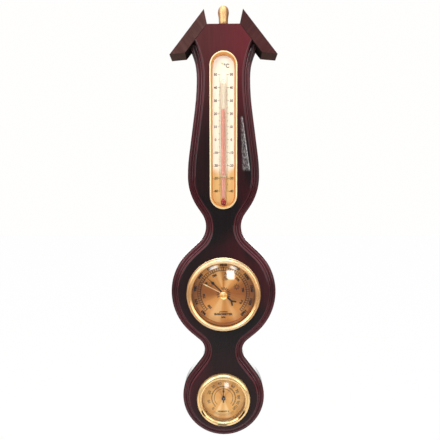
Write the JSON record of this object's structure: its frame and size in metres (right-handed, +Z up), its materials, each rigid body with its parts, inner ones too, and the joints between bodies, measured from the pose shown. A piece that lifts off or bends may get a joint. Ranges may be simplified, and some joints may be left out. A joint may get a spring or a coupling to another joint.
{
  "type": "ship barometer",
  "caption": "Wooden wall board with a moulded edge and a roof of two arms, holding a thermometer, an aneroid barometer and a hygrometer in brass bezels.",
  "frame": {"origin": "centre of the hanging keyhole's round entry, on the wall side of the hanger plate", "axes": "+Z up the wall, +X to the viewer's right, +Y into the wall, so the dials face -Y"},
  "size_m": [0.121, 0.0308, 0.4961],
  "materials": {
    "birch": "raw",
    "capsule_nickel": "brushed",
    "clear_glass": "polished",
    "dial_brass": "spun satin",
    "hand_black": "satin",
    "mahogany": "satin lacquer",
    "plate_cream": "satin",
    "polished_brass": "polished lacquered",
    "red_liquid": "gloss",
    "rubber_black": "matt",
    "steel": "brushed",
    "zinc_steel": "brushed"
  },
  "bodies": {
    "case": {"arm_dowels": "birch", "backboard": "mahogany", "barometer_bezel": "polished_brass", "barometer_case": "zinc_steel", "barometer_dial": "dial_brass", "barometer_fit_band": "rubber_black", "barometer_glass": "clear_glass", "bridge_screws": "steel", "bridge_spacers": "polished_brass", "bush_nut": "polished_brass", "capsule_back": "capsule_nickel", "capsule_front": "capsule_nickel", "capsule_post": "capsule_nickel", "coil_bracket": "steel", "dial_seat_ring": "zinc_steel", "finial": "polished_brass", "finial_stud": "steel", "glass_gasket": "rubber_black", "hairspring": "steel", "hanger_plate": "steel", "hanger_screws": "steel", "hygrometer_bezel": "polished_brass", "hygrometer_bridge": "steel", "hygrometer_bush": "polished_brass", "hygrometer_case": "zinc_steel", "hygrometer_coil": "steel", "hygrometer_dial": "dial_brass", "hygrometer_dial_ring": "dial_brass", "hygrometer_fit_band": "rubber_black", "hygrometer_glass": "clear_glass", "knob_bush": "polished_brass", "left_arm": "mahogany", "lower_bridge": "polished_brass", "movement_base": "zinc_steel", "movement_pillars": "polished_brass", "rehaut_ring": "dial_brass", "right_arm": "mahogany", "rocker_bearings": "steel", "scale_pin": "polished_brass", "thermometer_bezel": "polished_brass", "thermometer_liquid": "red_liquid", "thermometer_scale": "plate_cream", "thermometer_tube": "clear_glass", "tube_clip": "steel", "tube_saddles": "steel", "upper_bridge": "polished_brass"},
    "pressure_pointer": {"pressure_hand": "hand_black", "pointer_arbor": "steel", "pinion": "polished_brass", "spring_collet": "polished_brass"},
    "set_pointer": {"set_hand": "polished_brass", "set_knob": "polished_brass"},
    "sector": {"sector_gear": "polished_brass", "sector_arbor": "steel"},
    "rocker": {"rocker_shaft": "steel"},
    "capsule_top": {"capsule_stud": "capsule_nickel"},
    "adjuster": {"adjusting_screw": "steel"},
    "humidity_pointer": {"humidity_hand": "hand_black", "hygrometer_arbor": "steel", "coil_collet": "polished_brass"}
  },
  "joints": [
    {"name": "pressure_pointer_turn", "type": "hinge", "parent": "case", "child": "pressure_pointer", "pos_m": [0, -0.0182, -0.2639], "axis": [0, 1, 0], "range_deg": [-89, 181], "deforming": ["hairspring"]},
    {"name": "sector_turn", "type": "hinge", "parent": "case", "child": "sector", "pos_m": [0, -0.0125, -0.2799], "axis": [0, 1, 0], "range_deg": [-12.12, 5.98]},
    {"name": "rocker_turn", "type": "hinge", "parent": "case", "child": "rocker", "pos_m": [0, -0.0082, -0.2659], "axis": [1, 0, 0], "range_deg": [-15.41, 7.6]},
    {"name": "capsule_breathe", "type": "slide", "parent": "case", "child": "capsule_top", "axis": [0, -1, 0], "range_m": [-0.0005373, 0.0002647], "deforming": ["capsule_front"]},
    {"name": "set_pointer_turn", "type": "hinge", "parent": "case", "child": "set_pointer", "pos_m": [0, -0.0295, -0.2639], "axis": [0, 1, 0], "continuous": true},
    {"name": "adjuster_turn", "type": "hinge", "parent": "case", "child": "adjuster", "pos_m": [0, -0.0015, -0.2639], "axis": [0, 1, 0], "range_deg": [-360, 360]},
    {"name": "humidity_pointer_turn", "type": "hinge", "parent": "case", "child": "humidity_pointer", "pos_m": [0, -0.0204, -0.3885], "axis": [0, 1, 0], "range_deg": [-137, 131], "deforming": ["hygrometer_coil"]}
  ],
  "couplings": [
    {"joint": "sector_turn", "follows": "pressure_pointer_turn", "ratio": -0.066667},
    {"joint": "rocker_turn", "follows": "pressure_pointer_turn", "ratio": -0.084883},
    {"joint": "capsule_breathe", "follows": "pressure_pointer_turn", "m_per_rad": -0.00016977}
  ]
}
